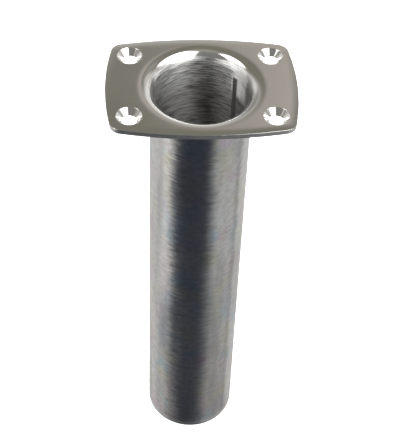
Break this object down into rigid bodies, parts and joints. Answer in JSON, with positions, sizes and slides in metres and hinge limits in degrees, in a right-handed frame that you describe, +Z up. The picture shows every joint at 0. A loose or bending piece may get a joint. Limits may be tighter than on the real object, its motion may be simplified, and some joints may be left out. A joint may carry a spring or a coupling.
{
  "type": "rod holder",
  "caption": "Flush-mount fishing rod holder: a bowed deck flange with a flared mouth and countersunk screw holes, on a straight welded tube with a drained end plate.",
  "frame": {"origin": "on the tube's axis, in the plane of the flange's underside, where it rests on the deck", "axes": "+Z up the tube's axis and out of the mouth; +X along the flange's long side; +Y along its short side"},
  "size_m": [0.0892, 0.0676, 0.2406],
  "materials": {
    "polished_steel": "mirror-polished stainless steel",
    "mill_steel": "dull mill-finish stainless steel, faintly mottled",
    "weld_metal": "rippled weld bead with a heat tint",
    "ground_weld": "weld ground flush"
  },
  "bodies": {
    "root": {"flange": "polished_steel", "neck_weld": "weld_metal", "tube": "mill_steel", "seam_weld": "weld_metal", "end_plate": "mill_steel", "end_weld": "ground_weld"}
  },
  "joints": []
}
